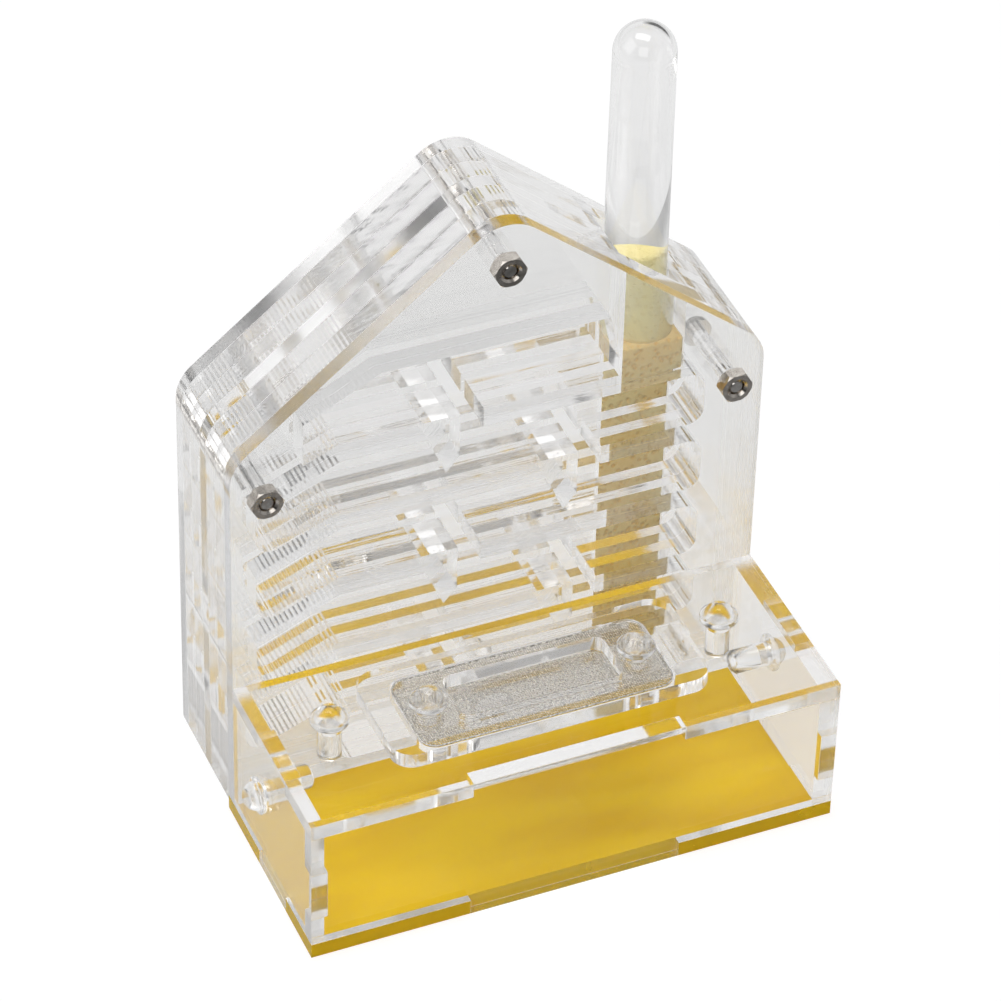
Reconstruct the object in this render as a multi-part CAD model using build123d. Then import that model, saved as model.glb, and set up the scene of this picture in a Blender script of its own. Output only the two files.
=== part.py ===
from build123d import *
import math
import os

# Ant habitat: a house-shaped nest of stacked acrylic sheets behind a finger-jointed feeding box.
# Millimetres. +X right, +Y back, +Z up. Origin on the ground, in the middle of the footprint.

# --- Sheet stock and fits -------------------------------------------------------------------
PLATE_T = 3.0               # cover plates, middle plate and every sheet of the feeding box
CHAMBER_T = 4.35            # the four sheets that carry the galleries
FILM = 0.05                 # air film between clamped sheets and in butted joints
HOLE_CLEARANCE = 0.1        # radial, round pins and stems in their holes
TUBE_CLEARANCE = 0.15       # each side, water tube in its channel
SPONGE_CLEARANCE = 0.1      # each side, sponge in its slot
HATCH_CLEARANCE = 0.4       # each side, hatch frame in the access opening

# --- Nest outline ----------------------------------------------------------------------------
NEST_WIDTH = 100.0
EAVE_RISE = 1.3             # eaves above the attic floor
ROOF_RISE = 40.9            # apex above the eaves, before rounding
ROOF_CORNER_R = 8.0
FOOT_CORNER_R = 2.5

# --- Galleries -------------------------------------------------------------------------------
FOOT_WALL = 4.0             # acrylic below the lowest gallery
GALLERY_HEIGHT = 11.0
GALLERY_WALL = 4.0
GALLERY_ROWS = 5            # full galleries below the attic
LEFT_MARGIN = 5.2
RIGHT_MARGIN = 10.3
RAMP_RUN = 15.5             # length of the sloping left part of a gallery
RAMP_DROP = 6.7
GALLERY_END_R = 3.0
PASSAGE_WIDTH = 4.4
PASSAGE_LEFT_X = -7.0       # left sides of the passages, which alternate between two columns
PASSAGE_RIGHT_X = 15.6
BEAK_WIDTH = 6.0            # wedge that hangs on the left side of each passage
BEAK_DROP = 8.2
BEAK_SIDE_DROP = 5.2        # its upright side, in line with the passage
BEAK_TIP_INSET = 2.5        # its tip, in from the upright side
ATTIC_HEIGHT = 13.3
ATTIC_LEFT_RUN = 6.7        # attic floor left of the ramp's top
ATTIC_LEFT_WALL = 8.9
ATTIC_CEILING_RUN = 14.0    # sloping left part of the attic ceiling
ATTIC_END_LEAN = 2.0
ATTIC_END_FOOT = 4.0        # upright foot of the attic's right end
ATTIC_TUBE_WALL = 1.7       # acrylic between the attic and the tube channel
DOORWAY_D = 8.0
DOORWAY_X = 0.0

# --- Screws and nuts -------------------------------------------------------------------------
SCREW_D = 3.0
SCREW_SIDE_INSET = 6.0      # side screws, in from the nest's sides
SCREW_EAVE_DROP = 7.3       # side screws below the eaves
SCREW_APEX_DROP = 10.7      # top screw below the apex
SCREW_RECESS = 0.4          # screw end below the nut's face
SCREW_HEAD_D = 5.6
SCREW_HEAD_H = 2.0
SCREW_SOCKET_AF = 2.0
SCREW_SOCKET_DEPTH = 1.2
SCREW_END_CHAMFER = 0.4
NUT_AF = 5.5
NUT_H = 2.4
NUT_CHAMFER = 0.35
NUT_COUNTERSINK = 0.4

# --- Water supply ----------------------------------------------------------------------------
TUBE_INSET = 9.3            # tube axis, in from the right gallery ends
TUBE_LENGTH = 61.4
TUBE_WALL = 0.85
TUBE_TAPER = 0.2            # radius lost between the mouth and the round end
SPONGE_HEAD_H = 7.0
STOPPER_H = 16.0
STRIP_SLOT_W = 13.0

# --- Feeding box -----------------------------------------------------------------------------
BOX_DEPTH = 38.0
BOX_HEIGHT = 31.0
FRONT_TAB = 40.0
SIDE_TAB = 13.0
CORNER_TAB = 10.4
CORNER_TAB_DROP = 1.2       # corner tabs below mid-height
HATCH_END_SPACE = 20.0      # mean space between the hatch's ends and the box's sides
HATCH_WIDTH = 23.0
HATCH_X = -1.0
HATCH_CORNER_R = 4.0
HATCH_END_LIP = 6.0
HATCH_SIDE_LIP = 2.3
LOCATOR_CORNER_R = 3.0
VENT_KNOB_SPACE = 4.3       # end of the vent slot, in from the knob axis
VENT_WIDTH = 11.0
VENT_CORNER_R = 2.0
MESH_T = 0.35
KNOB_INSET = 4.2            # knob axis, in from the end of the hatch frame

# --- Clear stoppers and hatch rivets ---------------------------------------------------------
STEM_D = 4.4
FLANGE_D = 7.0
FLANGE_H = 0.9
DOME_D = 5.5
DOME_H = 2.4
PLUG_STEM = 9.5
STEM_CHAMFER = 0.6
RIVET_FOOT_D = 5.6
RIVET_FOOT_H = 0.6
FEED_PLUG_INSET = 12.7      # from the box's sides
FEED_PLUG_SETBACK = 14.0    # from the nest's front
SIDE_PLUG_SETBACK = 13.5
SIDE_PLUG_HEIGHT = 17.5

# --- What follows from the sizes above -------------------------------------------------------
HALF_WIDTH = NEST_WIDTH / 2
PITCH = GALLERY_HEIGHT + GALLERY_WALL
ATTIC_FLOOR = FOOT_WALL + GALLERY_ROWS * PITCH
EAVE_Z = ATTIC_FLOOR + EAVE_RISE
APEX_Z = EAVE_Z + ROOF_RISE
GALLERY_LEFT = LEFT_MARGIN - HALF_WIDTH
GALLERY_RIGHT = HALF_WIDTH - RIGHT_MARGIN
RAMP_TOP_X = GALLERY_LEFT + RAMP_RUN
RAMP_SLOPE = RAMP_DROP / RAMP_RUN

# Depths of the stack's front faces, the front plate's own front face being y = 0.
STACK = [
    ("front_plate", PLATE_T),
    ("front_outer_sheet", CHAMBER_T),
    ("front_inner_sheet", CHAMBER_T),
    ("middle_plate", PLATE_T),
    ("rear_inner_sheet", CHAMBER_T),
    ("rear_outer_sheet", CHAMBER_T),
    ("back_plate", PLATE_T),
]
FRONT_Y = {}
depth = 0.0
for name, thickness in STACK:
    FRONT_Y[name] = depth
    depth += thickness + FILM
STACK_DEPTH = depth - FILM

CHANNEL_FRONT = FRONT_Y["front_inner_sheet"]
CHANNEL_DEPTH = FRONT_Y["rear_inner_sheet"] + CHAMBER_T - CHANNEL_FRONT
TUBE_Y = CHANNEL_FRONT + CHANNEL_DEPTH / 2
TUBE_X = GALLERY_RIGHT - TUBE_INSET
TUBE_D = CHANNEL_DEPTH - 2 * TUBE_CLEARANCE
CHANNEL_W = TUBE_D + 2 * TUBE_CLEARANCE
SPONGE_FOOT_Z = ATTIC_FLOOR - GALLERY_WALL
TUBE_MOUTH_Z = SPONGE_FOOT_Z + SPONGE_HEAD_H + FILM
ATTIC_RIGHT = TUBE_X - CHANNEL_W / 2 - ATTIC_TUBE_WALL
DOORWAY_Z = FOOT_WALL + GALLERY_HEIGHT / 2
SCREWS = {
    "left": (SCREW_SIDE_INSET - HALF_WIDTH, EAVE_Z - SCREW_EAVE_DROP),
    "apex": (0.0, APEX_Z - SCREW_APEX_DROP),
    "right": (HALF_WIDTH - SCREW_SIDE_INSET, EAVE_Z - SCREW_EAVE_DROP),
}
STEM_HOLE_D = STEM_D + 2 * HOLE_CLEARANCE
HATCH_LENGTH = NEST_WIDTH - 2 * HATCH_END_SPACE
LOCATOR_LENGTH = HATCH_LENGTH - 2 * HATCH_END_LIP
LOCATOR_WIDTH = HATCH_WIDTH - 2 * HATCH_SIDE_LIP
HATCH_Y = -BOX_DEPTH / 2
KNOB_X = LOCATOR_LENGTH / 2 - KNOB_INSET
VENT_LENGTH = 2 * (KNOB_X - VENT_KNOB_SPACE)
FEED_PLUG_X = HALF_WIDTH - FEED_PLUG_INSET

# The footprint runs from the box's front to the screw heads behind the nest.
FOOTPRINT_BACK = STACK_DEPTH + FILM + SCREW_HEAD_H
ORIGIN_Y = (FOOTPRINT_BACK - BOX_DEPTH) / 2


# --- Helpers ---------------------------------------------------------------------------------
def polygon(points, radii=0.0):
    """Face in the sketch plane with one radius for each corner, or one for all."""
    return make_face(FilletPolyline(*points, radius=radii, close=True))


def block(x0, x1, y0, y1, z0, z1):
    """Box between two corners."""
    return Pos(x0, y0, z0) * Box(x1 - x0, y1 - y0, z1 - z0, align=(Align.MIN, Align.MIN, Align.MIN))


def sheet(outline, front_y, thickness):
    """Sheet that stands up: the outline is drawn in X and Z, its front face at front_y."""
    plane = Plane(origin=(0, front_y + thickness, 0), x_dir=(1, 0, 0), z_dir=(0, -1, 0))
    return extrude(plane * outline, amount=thickness)


def slab(outline, bottom_z, thickness):
    """Sheet that lies flat: the outline is drawn in X and Y."""
    return extrude(Pos(0, 0, bottom_z) * outline, amount=thickness)


def turned(points, arc=None):
    """Solid of revolution about Z from radius and height pairs, closed along the axis."""
    edges = Polyline(*points)
    if arc:
        edges += ThreePointArc(*arc)
    return revolve(Plane.XZ * make_face(edges), axis=Axis.Z)


# --- Nest outline and cut-outs, drawn in X and Z ---------------------------------------------
def nest_outline(foot_z, foot_radius):
    """House shape with round eaves and apex."""
    corners = [
        (-HALF_WIDTH, foot_z),
        (HALF_WIDTH, foot_z),
        (HALF_WIDTH, EAVE_Z),
        (0, APEX_Z),
        (-HALF_WIDTH, EAVE_Z),
    ]
    radii = [foot_radius, foot_radius, ROOF_CORNER_R, ROOF_CORNER_R, ROOF_CORNER_R]
    return polygon(corners, radii)


def screw_holes():
    """Clearance holes of the three screws."""
    radius = SCREW_D / 2 + HOLE_CLEARANCE
    return [Pos(x, z) * Circle(radius) for x, z in SCREWS.values()]


def gallery(floor_z):
    """One full gallery: level, with a ramp that falls to the left."""
    ceiling_z = floor_z + GALLERY_HEIGHT
    corners = [
        (RAMP_TOP_X, floor_z),
        (GALLERY_RIGHT, floor_z),
        (GALLERY_RIGHT, ceiling_z),
        (RAMP_TOP_X, ceiling_z),
        (GALLERY_LEFT, ceiling_z - RAMP_DROP),
        (GALLERY_LEFT, floor_z - RAMP_DROP),
    ]
    return polygon(corners, [0, GALLERY_END_R, GALLERY_END_R, 0, 0, GALLERY_END_R])


def lowest_gallery():
    """The lowest gallery stops where the ramp of the one above comes down."""
    ceiling_z = FOOT_WALL + GALLERY_HEIGHT
    corners = [
        (RAMP_TOP_X, FOOT_WALL),
        (GALLERY_RIGHT, FOOT_WALL),
        (GALLERY_RIGHT, ceiling_z),
        (RAMP_TOP_X, ceiling_z),
    ]
    return polygon(corners, GALLERY_END_R)


def attic_gallery():
    """The top gallery follows the roof on the left and stops short of the tube on the right."""
    ceiling_z = ATTIC_FLOOR + ATTIC_HEIGHT
    left_x = RAMP_TOP_X - ATTIC_LEFT_RUN
    left_floor_z = ATTIC_FLOOR - ATTIC_LEFT_RUN * RAMP_SLOPE
    corners = [
        (RAMP_TOP_X, ATTIC_FLOOR),
        (ATTIC_RIGHT, ATTIC_FLOOR),
        (ATTIC_RIGHT, ATTIC_FLOOR + ATTIC_END_FOOT),
        (ATTIC_RIGHT - ATTIC_END_LEAN, ceiling_z),
        (left_x + ATTIC_CEILING_RUN, ceiling_z),
        (left_x, left_floor_z + ATTIC_LEFT_WALL),
        (left_x, left_floor_z),
    ]
    return polygon(corners)


def passages_and_beaks():
    """Gaps through the walls between galleries, and the wedge that hangs beside each."""
    gaps = []
    beaks = []
    for row in range(GALLERY_ROWS):
        wall_bottom = FOOT_WALL + row * PITCH + GALLERY_HEIGHT
        side_x = PASSAGE_LEFT_X if (GALLERY_ROWS - row) % 2 else PASSAGE_RIGHT_X
        gap = Rectangle(PASSAGE_WIDTH, PITCH / 2)
        gaps.append(Pos(side_x + PASSAGE_WIDTH / 2, wall_bottom + GALLERY_WALL / 2) * gap)
        beaks.append(
            polygon(
                [
                    (side_x, wall_bottom + GALLERY_WALL),
                    (side_x - BEAK_WIDTH, wall_bottom),
                    (side_x - BEAK_TIP_INSET, wall_bottom - BEAK_DROP),
                    (side_x, wall_bottom - BEAK_SIDE_DROP),
                ]
            )
        )
    return gaps, beaks


def gallery_cutout():
    """All galleries of a chamber sheet, joined by their passages."""
    gaps, beaks = passages_and_beaks()
    cutout = lowest_gallery() + attic_gallery()
    for row in range(1, GALLERY_ROWS):
        cutout += gallery(FOOT_WALL + row * PITCH)
    cutout += gaps
    for beak in beaks:
        cutout -= beak
    return cutout


def tube_channel():
    """Channel of the water tube, open through the roof."""
    length = APEX_Z - SPONGE_FOOT_Z
    return Pos(TUBE_X, SPONGE_FOOT_Z + length / 2) * Rectangle(CHANNEL_W, length)


def strip_slot():
    """Slot of the sponge strip in the middle plate."""
    height = SPONGE_FOOT_Z - FOOT_WALL
    return Pos(TUBE_X, FOOT_WALL + height / 2) * Rectangle(STRIP_SLOT_W, height)


# --- Nest ------------------------------------------------------------------------------------
def build_nest():
    """The seven sheets of the stack."""
    doorway = Pos(DOORWAY_X, DOORWAY_Z) * Circle(DOORWAY_D / 2)
    full = nest_outline(0.0, FOOT_CORNER_R) - screw_holes()
    standing = nest_outline(PLATE_T + FILM, 0.0) - screw_holes()
    galleries = gallery_cutout()
    outlines = {
        "front_plate": standing - doorway,
        "front_outer_sheet": full - galleries,
        "front_inner_sheet": full - galleries - tube_channel(),
        "middle_plate": full - doorway - tube_channel() - strip_slot(),
        "rear_inner_sheet": full - galleries - tube_channel(),
        "rear_outer_sheet": full - galleries,
        "back_plate": full,
    }
    return {name: sheet(outlines[name], FRONT_Y[name], t) for name, t in STACK}


def build_screw():
    """Screw along Y: its head behind the stack, its end just inside the nut in front."""
    length = FILM + STACK_DEPTH + FILM + NUT_H - SCREW_RECESS
    shank = Cylinder(SCREW_D / 2, length, align=(Align.CENTER, Align.CENTER, Align.MIN))
    shank = chamfer(shank.edges().sort_by(Axis.Z)[-1], SCREW_END_CHAMFER)
    head = Cylinder(SCREW_HEAD_D / 2, SCREW_HEAD_H, align=(Align.CENTER, Align.CENTER, Align.MAX))
    head = fillet(head.edges().sort_by(Axis.Z)[0], SCREW_HEAD_H / 2)
    socket = RegularPolygon(SCREW_SOCKET_AF / 2, 6, major_radius=False)
    recess = Pos(0, 0, -SCREW_HEAD_H) * extrude(socket, amount=SCREW_SOCKET_DEPTH)
    screw = shank + head - recess
    return Pos(0, STACK_DEPTH + FILM, 0) * Rot(90, 0, 0) * screw


def build_nut():
    """Hexagon nut along Y on the nest's front."""
    hexagon = extrude(RegularPolygon(NUT_AF / 2, 6, major_radius=False), amount=NUT_H)
    corner_r = NUT_AF / math.sqrt(3)
    turned_blank = Cylinder(corner_r, NUT_H, align=(Align.CENTER, Align.CENTER, Align.MIN))
    turned_blank = chamfer(turned_blank.edges(), NUT_CHAMFER)
    bore_r = SCREW_D / 2 + FILM
    bore = Cylinder(bore_r, NUT_H, align=(Align.CENTER, Align.CENTER, Align.MIN))
    sink = Cone(bore_r, bore_r + NUT_COUNTERSINK, NUT_COUNTERSINK, align=(Align.CENTER, Align.CENTER, Align.MAX))
    nut = (hexagon & turned_blank) - bore - Pos(0, 0, NUT_H) * sink
    return Pos(0, -FILM, 0) * Rot(90, 0, 0) * nut


def build_fasteners():
    """Three screws and three nuts."""
    pieces = {}
    for name, (x, z) in SCREWS.items():
        pieces["screw_" + name] = Pos(x, 0, z) * build_screw()
        pieces["nut_" + name] = Pos(x, 0, z) * build_nut()
    return pieces


# --- Water supply ----------------------------------------------------------------------------
def tube_solid(mouth_r, end_r, bottom_z, top_z):
    """Tapered round-ended rod about Z."""
    shoulder_z = top_z - end_r
    half = end_r * math.sqrt(0.5)
    return turned(
        [(0, top_z), (0, bottom_z), (mouth_r, bottom_z), (end_r, shoulder_z)],
        [(end_r, shoulder_z), (half, shoulder_z + half), (0, top_z)],
    )


def build_water():
    """Test tube with its round end up, its stopper, and the sponge that it wets."""
    mouth_r = TUBE_D / 2
    end_r = mouth_r - TUBE_TAPER
    top_z = TUBE_MOUTH_Z + TUBE_LENGTH
    outer = tube_solid(mouth_r, end_r, TUBE_MOUTH_Z, top_z)
    inner = tube_solid(mouth_r - TUBE_WALL, end_r - TUBE_WALL, TUBE_MOUTH_Z, top_z - TUBE_WALL)

    taper = TUBE_TAPER * STOPPER_H / TUBE_LENGTH
    stopper_r = mouth_r - TUBE_WALL - FILM
    stopper = turned(
        [
            (0, TUBE_MOUTH_Z),
            (stopper_r, TUBE_MOUTH_Z),
            (stopper_r - 2 * taper, TUBE_MOUTH_Z + STOPPER_H),
            (0, TUBE_MOUTH_Z + STOPPER_H),
            (0, TUBE_MOUTH_Z),
        ]
    )

    head_w = CHANNEL_W - 2 * SPONGE_CLEARANCE
    head_d = CHANNEL_DEPTH - 2 * SPONGE_CLEARANCE
    strip_w = STRIP_SLOT_W - 2 * SPONGE_CLEARANCE
    strip_d = PLATE_T - 2 * SPONGE_CLEARANCE
    head = block(-head_w / 2, head_w / 2, -head_d / 2, head_d / 2, SPONGE_FOOT_Z, SPONGE_FOOT_Z + SPONGE_HEAD_H)
    strip = block(-strip_w / 2, strip_w / 2, -strip_d / 2, strip_d / 2, FOOT_WALL + FILM, SPONGE_FOOT_Z)

    at_axis = Pos(TUBE_X, TUBE_Y, 0)
    return {
        "water_tube": at_axis * (outer - inner),
        "tube_stopper": at_axis * stopper,
        "moisture_sponge": at_axis * (head + strip),
    }


# --- Feeding box -----------------------------------------------------------------------------
def box_tabs(clearance):
    """Space taken by the walls' tabs in the base and the top, grown sideways by a clearance."""
    front = FRONT_TAB / 2 + clearance
    side_low = -(BOX_DEPTH + SIDE_TAB) / 2 - clearance
    side_high = -(BOX_DEPTH - SIDE_TAB) / 2 + clearance
    inner = HALF_WIDTH - PLATE_T - clearance
    front_back = -BOX_DEPTH + PLATE_T + clearance
    return [
        block(-front, front, -BOX_DEPTH, front_back, 0, BOX_HEIGHT),
        block(-HALF_WIDTH, -inner, side_low, side_high, 0, BOX_HEIGHT),
        block(inner, HALF_WIDTH, side_low, side_high, 0, BOX_HEIGHT),
    ]


def stopper_hole(axis_z=True):
    """Cutter for the hole of a clear stopper."""
    hole = Cylinder(STEM_HOLE_D / 2, 4 * PLATE_T)
    return hole if axis_z else Rot(0, 90, 0) * hole


def build_box():
    """Base, three walls and the top. The nest's front plate closes the back."""
    wall_foot = PLATE_T + FILM
    wall_head = BOX_HEIGHT - PLATE_T - FILM
    nest_side = -FILM
    front_back = -BOX_DEPTH + PLATE_T
    front_tab, left_tab, right_tab = box_tabs(0.0)
    inner_x = HALF_WIDTH - PLATE_T
    tab_z = BOX_HEIGHT / 2 - CORNER_TAB_DROP

    base = block(-HALF_WIDTH, HALF_WIDTH, -BOX_DEPTH, PLATE_T, 0, PLATE_T)
    top = block(-HALF_WIDTH, HALF_WIDTH, -BOX_DEPTH, nest_side, BOX_HEIGHT - PLATE_T, BOX_HEIGHT)
    base = base - box_tabs(FILM)
    top = top - box_tabs(FILM)

    notch = CORNER_TAB / 2 + FILM
    front = block(-HALF_WIDTH, HALF_WIDTH, -BOX_DEPTH, front_back, wall_foot, wall_head) + front_tab
    for side in (-1, 1):
        corner = side * HALF_WIDTH
        inner = side * (inner_x - FILM)
        low, high = min(corner, inner), max(corner, inner)
        front -= block(low, high, -BOX_DEPTH, front_back, tab_z - notch, tab_z + notch)

    def wall(x0, x1, tab):
        panel = block(x0, x1, front_back + FILM, nest_side, wall_foot, wall_head)
        corner_tab = block(
            x0, x1, -BOX_DEPTH, front_back + PLATE_T, tab_z - CORNER_TAB / 2, tab_z + CORNER_TAB / 2
        )
        port = Pos((x0 + x1) / 2, -SIDE_PLUG_SETBACK, SIDE_PLUG_HEIGHT) * stopper_hole(axis_z=False)
        return panel + tab + corner_tab - port

    opening = RectangleRounded(
        LOCATOR_LENGTH + 2 * HATCH_CLEARANCE,
        LOCATOR_WIDTH + 2 * HATCH_CLEARANCE,
        LOCATOR_CORNER_R + HATCH_CLEARANCE,
    )
    top -= slab(Pos(HATCH_X, HATCH_Y) * opening, BOX_HEIGHT - PLATE_T, PLATE_T)
    for side in (-1, 1):
        top -= Pos(side * FEED_PLUG_X, -FEED_PLUG_SETBACK, BOX_HEIGHT) * stopper_hole()

    return {
        "base_plate": base,
        "box_front": front,
        "box_left": wall(-HALF_WIDTH, -inner_x, left_tab),
        "box_right": wall(inner_x, HALF_WIDTH, right_tab),
        "box_top": top,
    }


def clear_head():
    """Flange and dome of a clear stopper or rivet, seated on z = 0."""
    dome_r = DOME_D / 2
    sphere_r = (dome_r**2 + DOME_H**2) / (2 * DOME_H)
    top_z = FLANGE_H + DOME_H
    half_angle = math.acos(1 - DOME_H / sphere_r) / 2
    shoulder = (
        sphere_r * math.sin(half_angle),
        top_z - sphere_r + sphere_r * math.cos(half_angle),
    )
    return turned(
        [(0, top_z), (0, 0), (FLANGE_D / 2, 0), (FLANGE_D / 2, FLANGE_H), (dome_r, FLANGE_H)],
        [(dome_r, FLANGE_H), shoulder, (0, top_z)],
    )


def stem(length):
    """Round stem below z = 0 with a chamfered tip."""
    rod = Cylinder(STEM_D / 2, length, align=(Align.CENTER, Align.CENTER, Align.MAX))
    return chamfer(rod.edges().sort_by(Axis.Z)[0], STEM_CHAMFER)


def build_hatch():
    """Cover plate, woven mesh and frame, clamped by two clear rivets that serve as knobs."""
    plate_z = BOX_HEIGHT + FILM
    mesh_z = plate_z - FILM - MESH_T
    frame_z = mesh_z - FILM - PLATE_T
    vent = RectangleRounded(VENT_LENGTH, VENT_WIDTH, VENT_CORNER_R)
    knob_holes = [Pos(side * KNOB_X, 0) * Circle(STEM_HOLE_D / 2) for side in (-1, 1)]
    cover = RectangleRounded(HATCH_LENGTH, HATCH_WIDTH, HATCH_CORNER_R) - vent - knob_holes
    inset = RectangleRounded(LOCATOR_LENGTH, LOCATOR_WIDTH, LOCATOR_CORNER_R) - knob_holes

    foot = Cylinder(RIVET_FOOT_D / 2, RIVET_FOOT_H, align=(Align.CENTER, Align.CENTER, Align.MAX))
    grip = plate_z + PLATE_T + FILM - (frame_z - FILM)
    rivet = clear_head() + Cylinder(STEM_D / 2, grip, align=(Align.CENTER, Align.CENTER, Align.MAX))
    rivet += Pos(0, 0, -grip) * foot

    at_hatch = Pos(HATCH_X, HATCH_Y, 0)
    rivet_z = plate_z + PLATE_T + FILM
    return {
        "hatch_plate": at_hatch * slab(cover, plate_z, PLATE_T),
        "vent_mesh": at_hatch * slab(inset, mesh_z, MESH_T),
        "hatch_locator": at_hatch * slab(inset - vent, frame_z, PLATE_T),
        "hatch_knob_left": at_hatch * Pos(-KNOB_X, 0, rivet_z) * rivet,
        "hatch_knob_right": at_hatch * Pos(KNOB_X, 0, rivet_z) * rivet,
    }


def build_plugs():
    """Clear stoppers: two in the top plate, one in each side wall."""
    plug = clear_head() + stem(PLUG_STEM)
    pieces = {}
    for side, name in ((-1, "left"), (1, "right")):
        seat_x = side * (HALF_WIDTH + FILM)
        pieces["feed_plug_" + name] = Pos(side * FEED_PLUG_X, -FEED_PLUG_SETBACK, BOX_HEIGHT + FILM) * plug
        pieces["side_plug_" + name] = (
            Pos(seat_x, -SIDE_PLUG_SETBACK, SIDE_PLUG_HEIGHT) * Rot(0, side * 90, 0) * plug
        )
    return pieces


# --- Export ----------------------------------------------------------------------------------
os.makedirs("parts", exist_ok=True)
PARTS = {}
for group in (build_nest, build_fasteners, build_water, build_box, build_hatch, build_plugs):
    PARTS.update(group())
for name, shape in PARTS.items():
    placed = Pos(0, -ORIGIN_Y, 0) * shape
    export_step(placed, "parts/" + name + ".step")
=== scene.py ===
"""Ant habitat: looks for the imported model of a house-shaped acrylic nest and its feeding box."""

import logging
import math
from dataclasses import dataclass
from enum import Enum
from typing import Callable, ClassVar, Dict, List, Optional, Sequence, Tuple

import bmesh
import bpy
from mathutils import Matrix, Vector


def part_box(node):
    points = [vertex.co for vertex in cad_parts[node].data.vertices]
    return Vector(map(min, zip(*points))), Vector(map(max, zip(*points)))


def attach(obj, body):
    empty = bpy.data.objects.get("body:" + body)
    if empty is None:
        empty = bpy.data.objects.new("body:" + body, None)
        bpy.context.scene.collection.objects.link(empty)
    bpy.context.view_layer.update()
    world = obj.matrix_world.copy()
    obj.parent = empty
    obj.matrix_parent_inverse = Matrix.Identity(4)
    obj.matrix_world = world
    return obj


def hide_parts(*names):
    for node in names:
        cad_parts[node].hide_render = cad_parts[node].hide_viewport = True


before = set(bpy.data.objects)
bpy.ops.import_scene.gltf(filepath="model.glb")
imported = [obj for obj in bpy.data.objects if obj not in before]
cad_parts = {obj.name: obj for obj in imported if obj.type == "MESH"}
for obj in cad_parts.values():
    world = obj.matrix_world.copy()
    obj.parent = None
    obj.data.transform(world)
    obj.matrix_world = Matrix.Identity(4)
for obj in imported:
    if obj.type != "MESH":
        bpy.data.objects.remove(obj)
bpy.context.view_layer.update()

logging.basicConfig(level=logging.INFO, format="%(name)s: %(message)s")
LOG = logging.getLogger("ant_habitat")

Colour = Tuple[float, float, float]
Point = Tuple[float, float, float]
Pair = Tuple[float, float]
Profile = List[Pair]
Ring = List[bmesh.types.BMVert]
Work = bmesh.types.BMesh
Piece = bpy.types.Object
Node = bpy.types.Node
Socket = bpy.types.NodeSocket

MM = 0.001
WHITE: Colour = (1.0, 1.0, 1.0)
CLEAR: Colour = (0.986, 0.986, 0.985)
ACRYLIC_IOR = 1.49
ON_AXIS = 1e-7


class SheetNormal(Enum):
    """The direction a flat sheet faces, as a unit vector."""

    FRONT = (0.0, 1.0, 0.0)
    SIDE = (1.0, 0.0, 0.0)
    FLAT = (0.0, 0.0, 1.0)


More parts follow.
